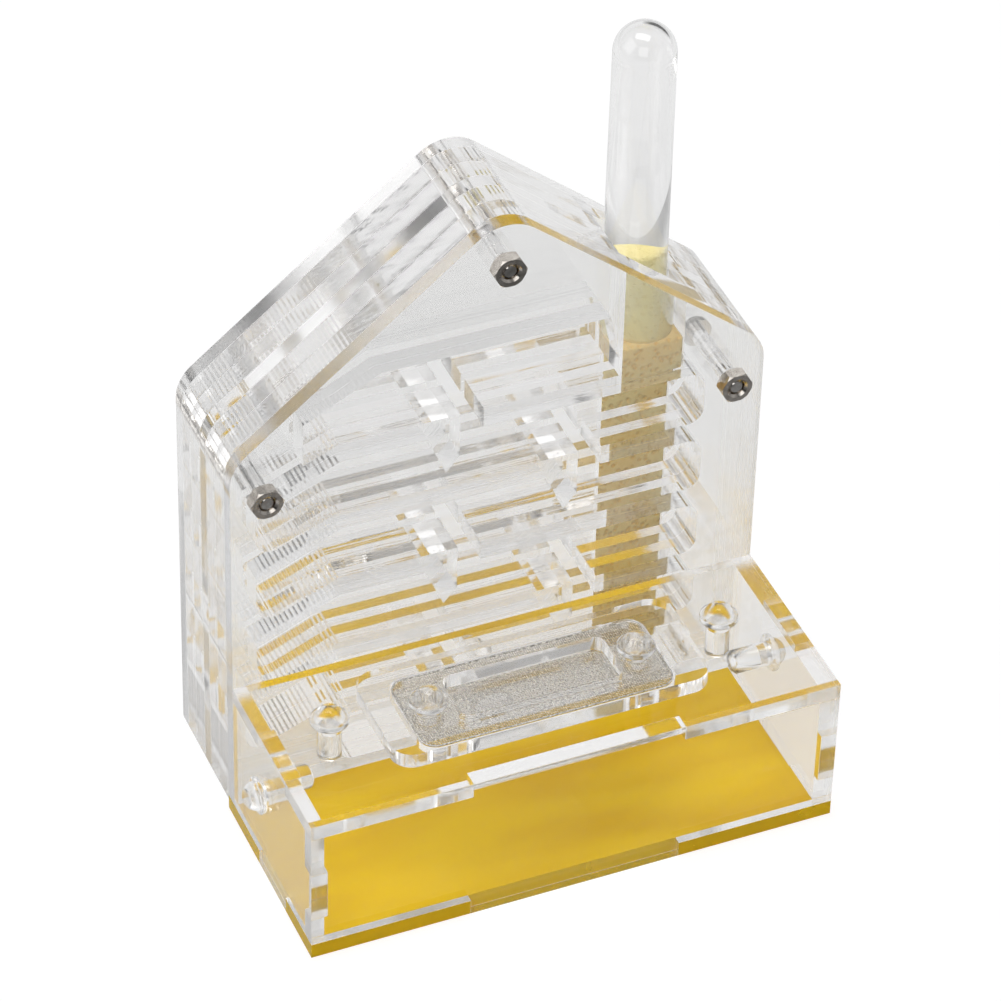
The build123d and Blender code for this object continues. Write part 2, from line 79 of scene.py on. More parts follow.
# --- Node helpers ---
class NodeBench:
    """Adds nodes to one tree and links them."""

    def __init__(self, tree: bpy.types.NodeTree) -> None:
        """Args:
        tree: the material, world or group tree that is worked on.
        """
        self.tree = tree

    def add(self, kind: str, **settings: object) -> Node:
        """Adds a node.

        Args:
            kind: the node's class name.
            settings: attributes to set on it.

        Returns:
            The new node.
        """
        node = self.tree.nodes.new(kind)
        for name, value in settings.items():
            setattr(node, name, value)
        return node

    def link(self, source: Socket, target: Socket) -> None:
        """Joins an output socket to an input socket."""
        self.tree.links.new(source, target)

    def feed(self, target: Socket, value: object) -> None:
        """Gives an input what it reads.

        Args:
            target: the input.
            value: a socket, a plain value or a plain colour.
        """
        if isinstance(value, Socket):
            self.link(value, target)
        else:
            target.default_value = (*value, 1.0) if target.type == "RGBA" else value

    def supply(self, node: Node, values: Dict[object, object]) -> Node:
        """Feeds several inputs of a node.

        Args:
            node: the node.
            values: what each input reads, by the input's name or number.

        Returns:
            The same node.
        """
        for key, value in values.items():
            self.feed(node.inputs[key], value)
        return node

    def math(self, operation: str, *values: object) -> Socket:
        """Adds a Math node with sockets or numbers for inputs and returns its output."""
        node = self.add("ShaderNodeMath", operation=operation)
        return self.supply(node, dict(enumerate(values))).outputs[0]

    def vector(self, operation: str, *values: object, out: int = 0) -> Socket:
        """Adds a Vector Math node and returns output number out, 1 where that is a value."""
        node = self.add("ShaderNodeVectorMath", operation=operation)
        return self.supply(node, dict(enumerate(values))).outputs[out]

    def remap(
        self, value: object, low: float, high: float, to_low: object, to_high: object
    ) -> Socket:
        """Maps a value from one range to another, clamped."""
        values = dict(enumerate((value, low, high, to_low, to_high)))
        return self.supply(self.add("ShaderNodeMapRange"), values).outputs[0]

    def place(self) -> Socket:
        """Object coordinates, in metres."""
        return self.add("ShaderNodeTexCoord").outputs["Object"]

    def split(self, vector: Socket) -> bpy.types.bpy_prop_collection:
        """Splits a vector into its X, Y and Z outputs."""
        return self.supply(self.add("ShaderNodeSeparateXYZ"), {0: vector}).outputs

    def noise(self, position: object, scale: object, detail: float) -> Socket:
        """Adds a noise texture and returns its value."""
        values = {"Vector": position, "Scale": scale, "Detail": detail}
        return self.supply(self.add("ShaderNodeTexNoise"), values).outputs["Fac"]

    def cells(self, position: object, scale: float) -> Socket:
        """Adds a Voronoi texture and returns the distance to the nearest point."""
        values = {"Vector": position, "Scale": scale}
        return self.supply(self.add("ShaderNodeTexVoronoi"), values).outputs["Distance"]

    def bump(
        self, height: Socket, strength: float, distance: float, normal: Optional[Socket] = None
    ) -> Socket:
        """Adds a Bump node.

        Args:
            height: the height to read.
            strength: how strongly it tells.
            distance: the height's full size in metres.
            normal: a normal to build on.

        Returns:
            The bumped normal.
        """
        values = {"Strength": strength, "Distance": distance, "Height": height}
        node = self.supply(self.add("ShaderNodeBump"), values)
        if normal is not None:
            self.link(normal, node.inputs["Normal"])
        return node.outputs["Normal"]

    def blend(self, factor: object, first: object, second: object) -> Socket:
        """Mixes two colours, sockets or plain, by the second one's share."""
        node = self.add("ShaderNodeMix", data_type="RGBA")
        return self.supply(node, {0: factor, 6: first, 7: second}).outputs[2]

    def pick(self, factor: object, first: object, second: object) -> Socket:
        """Mixes two numbers, sockets or plain, by the second one's share."""
        node = self.add("ShaderNodeMix", data_type="FLOAT")
        return self.supply(node, {0: factor, 2: first, 3: second}).outputs[0]

    def group(self, name: str, **values: object) -> Node:
        """Places a node group and sets its inputs, by name with _ for a space."""
        node = self.add("ShaderNodeGroup", node_tree=bpy.data.node_groups[name])
        return self.supply(node, {key.replace("_", " "): values[key] for key in values})


def start_nodes(owner: bpy.types.ID) -> NodeBench:
    """Switches a material or a world to nodes and empties its tree.

    Args:
        owner: the material or world.

    Returns:
        A bench on its tree.
    """
    owner.use_nodes = True
    owner.node_tree.nodes.clear()
    return NodeBench(owner.node_tree)


def new_group(
    name: str, inputs: Sequence[Tuple[str, str, object]], outputs: Sequence[Tuple[str, str]]
) -> Tuple[NodeBench, Node, Node]:
    """Starts a shader node group.

    Args:
        name: the group's name.
        inputs: name, socket type and default of each input.
        outputs: name and socket type of each output.

    Returns:
        A bench on its tree, its input node and its output node.
    """
    tree = bpy.data.node_groups.new(name, "ShaderNodeTree")
    for label, kind, default in inputs:
        socket = tree.interface.new_socket(name=label, in_out="INPUT", socket_type=kind)
        socket.default_value = default
    for label, kind in outputs:
        tree.interface.new_socket(name=label, in_out="OUTPUT", socket_type=kind)
    bench = NodeBench(tree)
    return bench, bench.add("NodeGroupInput"), bench.add("NodeGroupOutput")


@dataclass
class Effects:
    """The surface effects that several finishes share, each a node group made once."""

    CUT_EDGE = "CutEdge"
    STAIR_RIBS = "StairRibs"
    HANDLING = "Handling"
    CAST_WAVES = "CastWaves"

    edge_facing: Pair = (0.5, 0.9)
    streak_stretch: float = 0.96
    streak_scale: float = 2600.0
    grain_scale: float = 1300.0
    rib_slopes: Pair = (0.12, 0.55)
    rib_sideways: float = 0.2
    riser_normal: Pair = (-0.85, 0.53)
    smear_edges: Pair = (0.52, 0.74)
    dust_scale: float = 480.0
    dust_radius: float = 0.09

    def build(self) -> None:
        """Makes every group."""
        self.cut_edge()
        self.stair_ribs()
        self.handling()
        self.cast_waves()

    def cut_edge(self) -> None:
        """Makes the mask of a sheet's cut edges and the cutter's marks on them.

        An edge is a face that looks along the sheet, not out of it. The streaks run through the
        sheet's thickness and the grain runs along its edge.
        """
        bench, get, put = new_group(
            self.CUT_EDGE,
            [("Sheet Normal", "NodeSocketVector", SheetNormal.FRONT.value)],
            [(name, "NodeSocketFloat") for name in ("Mask", "Streak", "Grain")],
        )
        true_normal = bench.add("ShaderNodeNewGeometry").outputs["True Normal"]
        facing = bench.vector("DOT_PRODUCT", true_normal, get.outputs[0], out=1)
        mask = bench.remap(bench.math("ABSOLUTE", facing), *self.edge_facing, 1.0, 0.0)
        place = bench.place()
        across = bench.vector("MULTIPLY", get.outputs[0], (self.streak_stretch,) * 3)
        squeezed = bench.vector("MULTIPLY", place, bench.vector("SUBTRACT", WHITE, across))
        along = bench.vector("ADD", across, (1.0 - self.streak_stretch,) * 3)
        grain = bench.noise(bench.vector("MULTIPLY", place, along), self.grain_scale, 2.0)
        streak = bench.noise(squeezed, self.streak_scale, 3.0)
        bench.supply(put, {"Mask": mask, "Streak": streak, "Grain": grain})

    def stair_ribs(self) -> None:
        """Fine steps that the cutter leaves on slanted cuts: level treads and steep risers."""
        bench, get, put = new_group(
            self.STAIR_RIBS,
            [
                ("Pitch", "NodeSocketFloat", 0.85 * MM),
                ("Riser Share", "NodeSocketFloat", 0.42),
                ("Normal", "NodeSocketVector", SheetNormal.FLAT.value),
            ],
            [("Normal", "NodeSocketVector")],
        )
        normal = bench.split(bench.add("ShaderNodeNewGeometry").outputs["True Normal"])
        along_x = bench.math("ABSOLUTE", normal["X"])
        along_y = bench.math("ABSOLUTE", normal["Y"])
        least, most = self.rib_slopes
        slant = bench.math("GREATER_THAN", along_x, least)
        for value, limit in ((along_x, most), (along_y, self.rib_sideways)):
            slant = bench.math("MULTIPLY", slant, bench.math("LESS_THAN", value, limit))
        steps = bench.math("DIVIDE", bench.split(bench.place())["X"], get.outputs["Pitch"])
        phase = bench.math("FRACT", steps)
        riser = bench.math("LESS_THAN", phase, get.outputs["Riser Share"])
        riser_x, riser_z = self.riser_normal
        tilt = {0: bench.math("MULTIPLY", riser, riser_x), 2: bench.pick(riser, 1.0, riser_z)}
        tilted = bench.supply(bench.add("ShaderNodeCombineXYZ"), tilt)
        step = bench.vector("SCALE", tilted.outputs[0])
        bench.feed(step.node.inputs["Scale"], bench.math("SIGN", normal["Z"]))
        choice = bench.add("ShaderNodeMix", data_type="VECTOR")
        bench.supply(choice, {0: slant, 4: get.outputs["Normal"], 5: step})
        bench.link(bench.vector("NORMALIZE", choice.outputs[1]), put.inputs["Normal"])

    def handling(self) -> None:
        """Smudges and dust, as a roughness between clean and smudged."""
        bench, get, put = new_group(
            self.HANDLING,
            [
                (name, "NodeSocketFloat", value)
                for name, value in (("Clean", 0.02), ("Smudged", 0.1), ("Scale", 60.0))
            ],
            [("Roughness", "NodeSocketFloat")],
        )
        place = bench.place()
        cloud = bench.noise(place, get.outputs["Scale"], 4.0)
        smear = bench.remap(cloud, *self.smear_edges, 0.0, 1.0)
        specks = bench.cells(place, self.dust_scale)
        dust = bench.remap(specks, 0.0, self.dust_radius, 1.0, 0.0)
        total = bench.math("MAXIMUM", smear, dust)
        spread = bench.math("SUBTRACT", get.outputs["Smudged"], get.outputs["Clean"])
        added = bench.math("MULTIPLY", spread, total)
        bench.link(bench.math("ADD", get.outputs["Clean"], added), put.inputs["Roughness"])

    def cast_waves(self) -> None:
        """Slow waviness of cast or moulded plastic, as a bump height."""
        bench, get, put = new_group(
            self.CAST_WAVES,
            [("Scale", "NodeSocketFloat", 34.0)],
            [("Height", "NodeSocketFloat")],
        )
        swell = bench.noise(bench.place(), get.outputs["Scale"], 1.0)
        bench.link(swell, put.inputs["Height"])


# --- Finishes ---
def new_material(name: str) -> Tuple[bpy.types.Material, NodeBench, Node, Node]:
    """Starts a material with one Principled shader.

    Args:
        name: the material's name.

    Returns:
        The material, a bench on its tree, the shader and the output node.
    """
    material = bpy.data.materials.new(name)
    bench = start_nodes(material)
    shader = bench.add("ShaderNodeBsdfPrincipled")
    output = bench.add("ShaderNodeOutputMaterial")
    bench.link(shader.outputs[0], output.inputs["Surface"])
    return material, bench, shader, output


def let_lamps_through(bench: NodeBench, shader: Node, output: Node, tint: Colour) -> None:
    """Lets lamp light pass a clear shader without bending, so what is inside stays lit.

    Args:
        bench: the material's bench.
        shader: its Principled shader.
        output: its output node.
        tint: the colour that the light keeps.
    """
    shadow = bench.add("ShaderNodeLightPath").outputs["Is Shadow Ray"]
    clear = bench.supply(bench.add("ShaderNodeBsdfTransparent"), {"Color": tint})
    ways = {0: shadow, 1: shader.outputs[0], 2: clear.outputs[0]}
    mixed = bench.supply(bench.add("ShaderNodeMixShader"), ways)
    bench.link(mixed.outputs[0], output.inputs["Surface"])


@dataclass(frozen=True)
class Finish:
    """A named surface that builds its own material."""

    name: str

    def make(self) -> bpy.types.Material:
        """Builds the material."""
        raise NotImplementedError


@dataclass(frozen=True)
class SheetAcrylic(Finish):
    """Polished acrylic sheet with laser-cut edges, and painted shade that dims its reflections."""

    edge: Colour
    normal: SheetNormal
    cut_rough: float
    striation: float
    face: Colour = CLEAR
    streaked: Optional[Colour] = None
    ribbed: bool = False
    transmission: float = 1.0
    smudged: float = 0.05
    # Painted shade on reflections: a specular tint below 1 dims this sheet's reflections under
    # those of plain acrylic.
    shaded_reflection: float = 0.4
    grain: float = 0.0
    shadow: Colour = WHITE
    wave_strength: float = 0.25
    wave_depth: float = 0.02 * MM

    def make(self) -> bpy.types.Material:
        """Builds the material.

        Returns:
            The material.
        """
        material, bench, shader, output = new_material(self.name)
        edge = bench.group(Effects.CUT_EDGE, Sheet_Normal=self.normal.value)
        mask = edge.outputs["Mask"]
        face: object = self.face
        if self.streaked:
            stretched = bench.vector("MULTIPLY", bench.place(), (1.0, 4.0, 1.0))
            streaks = bench.remap(bench.noise(stretched, 22.0, 4.0), 0.38, 0.62, 0.0, 1.0)
            face = bench.blend(streaks, face, self.streaked)
        handling = bench.group(Effects.HANDLING, Clean=0.0, Smudged=self.smudged)
        cut_rough = bench.math("MULTIPLY", mask, self.cut_rough)
        waves = bench.group(Effects.CAST_WAVES).outputs["Height"]
        normal = bench.bump(waves, self.wave_strength, self.wave_depth)
        for mark, depth in (("Streak", self.striation), ("Grain", self.grain)):
            height = bench.math("MULTIPLY", mask, edge.outputs[mark])
            normal = bench.bump(height, 1.0, depth, normal)
        if self.ribbed:
            normal = bench.group(Effects.STAIR_RIBS, Normal=normal).outputs["Normal"]
        look = {
            "Base Color": bench.blend(mask, face, self.edge),
            "Roughness": bench.math("ADD", handling.outputs["Roughness"], cut_rough),
            "Normal": normal,
            "Transmission Weight": self.transmission,
            "IOR": ACRYLIC_IOR,
            # Painted shade: the specular tint dims the reflections.
            "Specular Tint": (self.shaded_reflection,) * 3,
        }
        let_lamps_through(bench, bench.supply(shader, look), output, self.shadow)
        return material


@dataclass(frozen=True)
class MouldedClear(Finish):
    """Clear moulded plastic of the tube, the stoppers and the hatch rivets."""

    colour: Colour
    ior: float
    rough: float
    swirl: float
    smudge: float = 0.06
    wave_depth: float = 0.05 * MM
    paling: float = 1.03

    def make(self) -> bpy.types.Material:
        """Builds the material.

        Returns:
            The material.
        """
        material, bench, shader, output = new_material(self.name)
        clouds = bench.noise(bench.place(), 220.0, 2.0)
        pale = tuple(min(1.0, share * self.paling) for share in self.colour)
        smudged = self.rough + self.smudge
        handling = bench.group(Effects.HANDLING, Clean=self.rough, Smudged=smudged, Scale=140.0)
        waves = bench.group(Effects.CAST_WAVES, Scale=180.0).outputs["Height"]
        look = {
            "Base Color": bench.blend(clouds, self.colour, pale),
            "Roughness": handling.outputs["Roughness"],
            "Normal": bench.bump(waves, self.swirl, self.wave_depth),
            "Transmission Weight": 1.0,
            "IOR": self.ior,
        }
        let_lamps_through(bench, bench.supply(shader, look), output, WHITE)
        return material


@dataclass(frozen=True)
class Steel(Finish):
    """Bright metal with machining marks."""

    light: Colour
    dark: Colour
    rough: float
    marks: float = 0.1
    speck: float = 900.0
    smudge: float = 0.2
    mark_depth: float = 0.02 * MM

    def make(self) -> bpy.types.Material:
        """Builds the material.

        Returns:
            The material.
        """
        material, bench, shader, _ = new_material(self.name)
        place = bench.place()
        stain = bench.remap(bench.noise(place, self.speck, 4.0), 0.35, 0.65, 0.0, 1.0)
        smudged = self.rough + self.smudge
        handling = bench.group(Effects.HANDLING, Clean=self.rough, Smudged=smudged, Scale=700.0)
        turned = bench.noise(bench.vector("MULTIPLY", place, (1.0, 6.0, 1.0)), 2400.0, 2.0)
        look = {
            "Base Color": bench.blend(stain, self.dark, self.light),
            "Roughness": handling.outputs["Roughness"],
            "Normal": bench.bump(turned, self.marks, self.mark_depth),
            "Metallic": 1.0,
        }
        bench.supply(shader, look)
        return material


@dataclass(frozen=True)
class Foam(Finish):
    """Open-cell sponge or foam, with painted shade darkening the hollow of each pore."""

    pale: Colour
    # The deep tone of the random patches, also painted as shade into the hollow of each pit.
    deep_and_pore_shade: Colour
    cell: float
    depth: float
    rough: float
    wet: float = 0.0
    pit_strength: float = 0.9

    def make(self) -> bpy.types.Material:
        """Builds the material.

        Returns:
            The material.
        """
        material, bench, shader, _ = new_material(self.name)
        place = bench.place()
        pits = bench.remap(bench.cells(place, 1.0 / self.cell), 0.1, 0.5, 0.0, 1.0)
        patches = bench.remap(bench.noise(place, 90.0, 5.0), 0.35, 0.65, 0.0, 1.0)
        # Painted shade: the colour turns towards the deep tone in the hollow of each pit, and the
        # patches vary it at random.
        pore_shade_and_patches = bench.math("MULTIPLY", bench.math("ADD", pits, patches), 0.5)
        look = {
            "Base Color": bench.blend(pore_shade_and_patches, self.deep_and_pore_shade, self.pale),
            "Roughness": bench.pick(pits, self.rough - 0.2, self.rough),
            "Normal": bench.bump(pits, self.pit_strength, self.depth),
            "Coat Weight": self.wet,
            "Coat Roughness": 0.15,
        }
        bench.supply(shader, look)
        return material


class Finishes:
    """Every material of the habitat, made once and handed out by name."""

    # Painted shade on reflections: the front and top box sheets reflect at a quarter, the side
    # sheets in full.
    BOX_SHEETS: Tuple[Finish, ...] = tuple(
        SheetAcrylic(
            "box_acrylic_" + normal.name.lower(), WHITE, normal, cut_rough=0.12,
            striation=0.01 * MM, shaded_reflection=1.0 if normal is SheetNormal.SIDE else 0.25,
        )
        for normal in SheetNormal
    )
    OTHERS: Tuple[Finish, ...] = (
        # Painted shade on reflections: each sheet's specular tint dims its reflections by its own
        # amount.
        SheetAcrylic(
            "plate_acrylic", (0.95, 0.96, 0.98), SheetNormal.FRONT, cut_rough=0.2,
            striation=0.012 * MM, shaded_reflection=0.8,
        ),
        SheetAcrylic(
            "inner_plate_acrylic", (0.985, 0.983, 0.98), SheetNormal.FRONT, cut_rough=0.08,
            striation=0.008 * MM, shaded_reflection=0.8,
        ),
        SheetAcrylic(
            "hatch_acrylic", (0.99, 0.985, 0.98), SheetNormal.FLAT, cut_rough=0.06,
            striation=0.004 * MM, smudged=0.01,
        ),
        SheetAcrylic(
            "gallery_acrylic", (0.975, 0.972, 0.968), SheetNormal.FRONT, cut_rough=0.04,
            striation=0.005 * MM, ribbed=True, shaded_reflection=1.0, grain=0.04 * MM,
        ),
        SheetAcrylic(
            "yellow_acrylic", (1.0, 0.80, 0.01), SheetNormal.FLAT, cut_rough=0.25,
            striation=0.01 * MM, face=(0.88, 0.63, 0.003), streaked=(0.76, 0.50, 0.002),
            transmission=0.5, shaded_reflection=0.2, shadow=(0.85, 0.55, 0.05),
        ),
        MouldedClear("tube_plastic", (0.985, 0.985, 0.985), ior=1.5, rough=0.02, swirl=0.25),
        MouldedClear("clear_plastic", (0.975, 0.975, 0.972), ACRYLIC_IOR, rough=0.1, swirl=0.4),
        Steel("plated_steel", light=(0.88, 0.83, 0.77), dark=(0.64, 0.59, 0.54), rough=0.16),
        Steel("thread_steel", light=(0.86, 0.84, 0.81), dark=(0.62, 0.59, 0.56), rough=0.08),
        Steel(
            "woven_steel", light=(1.0, 0.98, 0.94), dark=(0.32, 0.30, 0.28), rough=0.3,
            marks=0.2, speck=2300.0,
        ),
        # The deep colours of both foams are also painted as shade in their pits.
        Foam(
            "yellow_sponge", pale=(1.0, 0.82, 0.38), deep_and_pore_shade=(1.0, 0.60, 0.12), cell=1.1 * MM,
            depth=0.3 * MM, rough=0.75, wet=0.4,
        ),
        Foam(
            "yellow_foam", pale=(1.0, 0.90, 0.44), deep_and_pore_shade=(1.0, 0.82, 0.32), cell=0.7 * MM,
            depth=0.15 * MM, rough=0.9,
        ),
    )

    def __init__(self) -> None:
        """Makes the shared effects, then each material."""
        Effects().build()
        self.materials = {each.name: each.make() for each in self.BOX_SHEETS + self.OTHERS}

    def dress(self, piece: Piece, name: str) -> None:
        """Gives a piece one of the materials in every slot.

        Args:
            piece: the piece.
            name: the material's name.
        """
        material = self.materials[name]
        if piece.data.materials:
            for index in range(len(piece.data.materials)):
                piece.data.materials[index] = material
        else:
            piece.data.materials.append(material)


# --- Mesh helpers ---
def add_object(name: str, data: bpy.types.ID) -> Piece:
    """Makes an object of a mesh, a lamp or a camera.

    Args:
        name: the object's name.
        data: its mesh, lamp or camera.

    Returns:
        The new object.
    """
    piece = bpy.data.objects.new(name, data)
    bpy.context.scene.collection.objects.link(piece)
    return piece


def mesh_piece(name: str, build: Callable[[Work], None], smooth: bool = True) -> Piece:
    """Makes an object from a function that fills a bmesh.

    Args:
        name: the object's name.
        build: fills the bmesh, in metres in the habitat's frame.
        smooth: whether its faces are shaded smooth.

    Returns:
        The new object.
    """
    mesh = bpy.data.meshes.new(name)
    work = bmesh.new()
    build(work)
    bmesh.ops.recalc_face_normals(work, faces=work.faces)
    for face in work.faces:
        face.smooth = smooth
    work.to_mesh(mesh)
    work.free()
    return add_object(name, mesh)


def join_rings(work: Work, rings: List[Ring]) -> None:
    """Adds the faces between each ring and the next, any of which may be a single point.

    Args:
        work: the bmesh that receives them.
        rings: the rings, in order.
    """
    for lower, upper in zip(rings, rings[1:]):
        count = max(len(lower), len(upper))
        for step in range(count):
            after = (step + 1) % count
            if len(lower) == 1:
                work.faces.new((lower[0], upper[step], upper[after]))
            elif len(upper) == 1:
                work.faces.new((lower[step], lower[after], upper[0]))
            else:
                work.faces.new((lower[step], lower[after], upper[after], upper[step]))


def lathe(work: Work, profile: Profile, place: Matrix, steps: int = 96) -> None:
    """Turns a profile about Z and moves the result into place.

    Args:
        work: the bmesh that receives it.
        profile: radius and height pairs, from axis to axis.
        place: the matrix that moves it to the habitat.
        steps: segments round the axis.
    """
    rings = []
    for radius, height in profile:
        if radius < ON_AXIS:
            rings.append([work.verts.new(place @ Vector((0.0, 0.0, height)))])
        else:
            rings.append(circle(work, place, [radius] * steps, height))
    join_rings(work, rings)


def circle(work: Work, place: Matrix, radii: Sequence[float], height: float) -> Ring:
    """Adds a ring of points about Z.

    Args:
        work: the bmesh that receives it.
        place: the matrix that moves it to the habitat.
        radii: the radius at each step round the axis.
        height: its height.

    Returns:
        The points.
    """
    ring = []
    for step, radius in enumerate(radii):
        angle = 2.0 * math.pi * step / len(radii)
        point = Vector((radius * math.cos(angle), radius * math.sin(angle), height))
        ring.append(work.verts.new(place @ point))
    return ring


def arc(centre: Pair, radius: float, start: float, end: float, steps: int) -> Profile:
    """Points of an arc in a profile.

    Args:
        centre: radius and height of its centre.
        radius: the arc's own radius.
        start: first angle, in degrees from the radius direction.
        end: last angle.
        steps: segments between them.

    Returns:
        Radius and height pairs.
    """
    points = []
    for step in range(steps + 1):
        angle = math.radians(start + (end - start) * step / steps)
        reach = (radius * math.cos(angle), radius * math.sin(angle))
        points.append((centre[0] + reach[0], centre[1] + reach[1]))
    return points


def crease(piece: Piece, degrees: float = 35.0) -> None:
    """Keeps edges sharper than an angle sharp on a smooth piece.

    Args:
        piece: the piece.
        degrees: the angle.
    """
    limit = math.radians(degrees)
    work = bmesh.new()
    work.from_mesh(piece.data)
    for edge in work.edges:
        if len(edge.link_faces) == 2 and edge.calc_face_angle() > limit:
            edge.smooth = False
    work.to_mesh(piece.data)
    work.free()


# --- Sub-assemblies ---
@dataclass
class SheetSet:
    """Flat sheets of the CAD model, listed under the acrylic that each is cut from."""

    ACRYLICS: ClassVar[Dict[str, Tuple[str, ...]]] = {}

    finishes: Finishes

    def dress(self) -> None:
        """Gives each sheet its acrylic."""
        for material, names in self.ACRYLICS.items():
            for name in names:
                self.finishes.dress(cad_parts[name], material)
                LOG.info("dressed %s", name)


class NestStack(SheetSet):
    """The clamped sheets of the nest: three plain plates and four sheets with galleries."""

    ACRYLICS = {
        "plate_acrylic": ("front_plate",),
        "inner_plate_acrylic": ("middle_plate", "back_plate"),
        "gallery_acrylic": (
            "front_outer_sheet", "front_inner_sheet", "rear_inner_sheet", "rear_outer_sheet",
        ),
    }


class FeedingBox(SheetSet):
    """The finger-jointed box, its yellow base and the sheets of its hatch."""

    ACRYLICS = {
        "yellow_acrylic": ("base_plate",),
        "box_acrylic_front": ("box_front",),
        "box_acrylic_side": ("box_left", "box_right"),
        "box_acrylic_flat": ("box_top",),
        "hatch_acrylic": ("hatch_plate", "hatch_locator"),
    }


@dataclass
class Fasteners:
    """The three threaded screws with their nuts."""

    finishes: Finishes
    radius: float = 1.5 * MM
    head_height: float = 2.0 * MM
    socket_radius: float = 1.0 * MM
    socket_depth: float = 1.2 * MM
    neck: float = 0.9
    pitch: float = 0.5 * MM
    thread_depth: float = 0.27 * MM
    lead_in: float = 0.5 * MM
    tip: float = 0.72
    round_steps: int = 28
    rings_per_turn: int = 6

    def build(self) -> None:
        """Builds a threaded screw for each of the plain CAD screws and dresses the nuts."""
        for side in ("left", "apex", "right"):
            screw = self.screw(side)
            self.finishes.dress(screw, "thread_steel")
            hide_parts("screw_" + side)
            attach(screw, "habitat")
            self.finishes.dress(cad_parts["nut_" + side], "plated_steel")
            LOG.info("built threaded_screw_%s", side)

    def screw(self, side: str) -> Piece:
        """Builds one screw in the place of its CAD node.

        The profile runs along the screw's own axis: height 0 is under the head, and it grows
        towards the nest's front.

        Args:
            side: left, apex or right.

        Returns:
            The screw.
        """
        low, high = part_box("screw_" + side)
        middle = (low + high) / 2.0
        head_radius = (high.x - low.x) / 2.0
        seat = Matrix.Translation((middle.x, high.y - self.head_height, middle.z))
        place = seat @ Matrix.Rotation(math.radians(90.0), 4, "X")
        length = (high.y - self.head_height) - low.y
        bend = self.head_height / 2.0

        def fill(work: Work) -> None:
            """Turns the head, then sweeps the thread.

            Args:
                work: the bmesh that receives them.
            """
            bottom = self.socket_depth - self.head_height
            head = [(0.0, bottom), (self.socket_radius, bottom)]
            head.append((self.socket_radius, -self.head_height))
            head += arc((head_radius - bend, -bend), bend, -90.0, 0.0, 8)
            head += [(head_radius, 0.0), (self.radius * self.neck, 0.0)]
            lathe(work, head, place, 48)
            self.thread(work, place, length)

        piece = mesh_piece("threaded_screw_" + side, fill)
        crease(piece)
        return piece

    def thread(self, work: Work, place: Matrix, length: float) -> None:
        """Sweeps a helical thread as one skin from the head to the tip.

        Args:
            work: the bmesh that receives it.
            place: the matrix that moves it to the habitat.
            length: length below the head.
        """
        count = int(length / self.pitch * self.rings_per_turn)
        rings = []
        for index in range(count + 1):
            height = length * index / count
            share = min(1.0, (length - height) / self.lead_in)
            most = self.radius * (self.tip + (1.0 - self.tip) * share)
            radii = []
            for step in range(self.round_steps):
                phase = (height / self.pitch - step / self.round_steps) % 1.0
                ridge = abs(2.0 * phase - 1.0)
                radii.append(min(self.radius - self.thread_depth * (1.0 - ridge), most))
            rings.append(circle(work, place, radii, height))
        join_rings(work, rings)
        work.faces.new(rings[-1])


